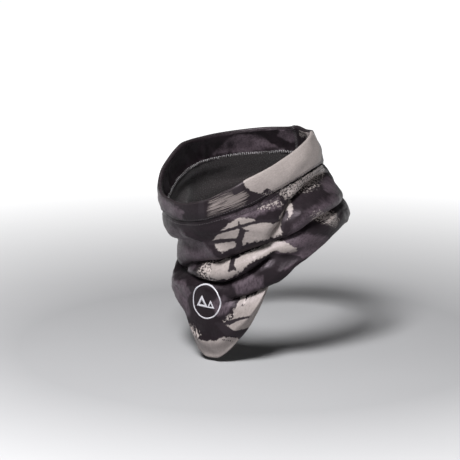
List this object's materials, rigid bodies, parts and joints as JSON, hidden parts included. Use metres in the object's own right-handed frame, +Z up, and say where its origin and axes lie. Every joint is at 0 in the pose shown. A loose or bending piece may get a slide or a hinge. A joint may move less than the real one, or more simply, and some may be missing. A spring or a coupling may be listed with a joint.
{
  "type": "neck gaiter",
  "caption": "Tube-shaped stretch neck gaiter with a folded collar band, fleece lining, scrunched rolls and a pointed chest bib.",
  "frame": {"origin": "on the neck axis at shoulder level, in the middle of the passage for the neck", "axes": "+Z up the neck, -Y towards the wearer's face and the bib, +X towards the wearer's left"},
  "size_m": [0.2066, 0.2052, 0.2193],
  "materials": {
    "printed_shell": "smooth stretch knit with a soft satin sheen, printed in taupe, mauve and charcoal blotches",
    "fleece": "short brushed fleece, matt",
    "dark_thread": "polyester thread, slightly shiny",
    "light_thread": "polyester thread, slightly shiny",
    "badge_film": "thin flexible heat-transfer film, satin",
    "satin_label": "woven satin, blank"
  },
  "bodies": {
    "root": {"outer_shell": "printed_shell", "fleece_lining": "fleece", "collar_band": "printed_shell", "band_topstitch": "dark_thread", "facing_coverstitch": "light_thread", "shell_back_seam": "dark_thread", "lining_back_seam": "dark_thread", "collar_back_seam": "dark_thread", "hem_seam": "dark_thread", "badge_ring": "badge_film", "badge_peaks": "badge_film", "care_label": "satin_label"}
  },
  "joints": []
}
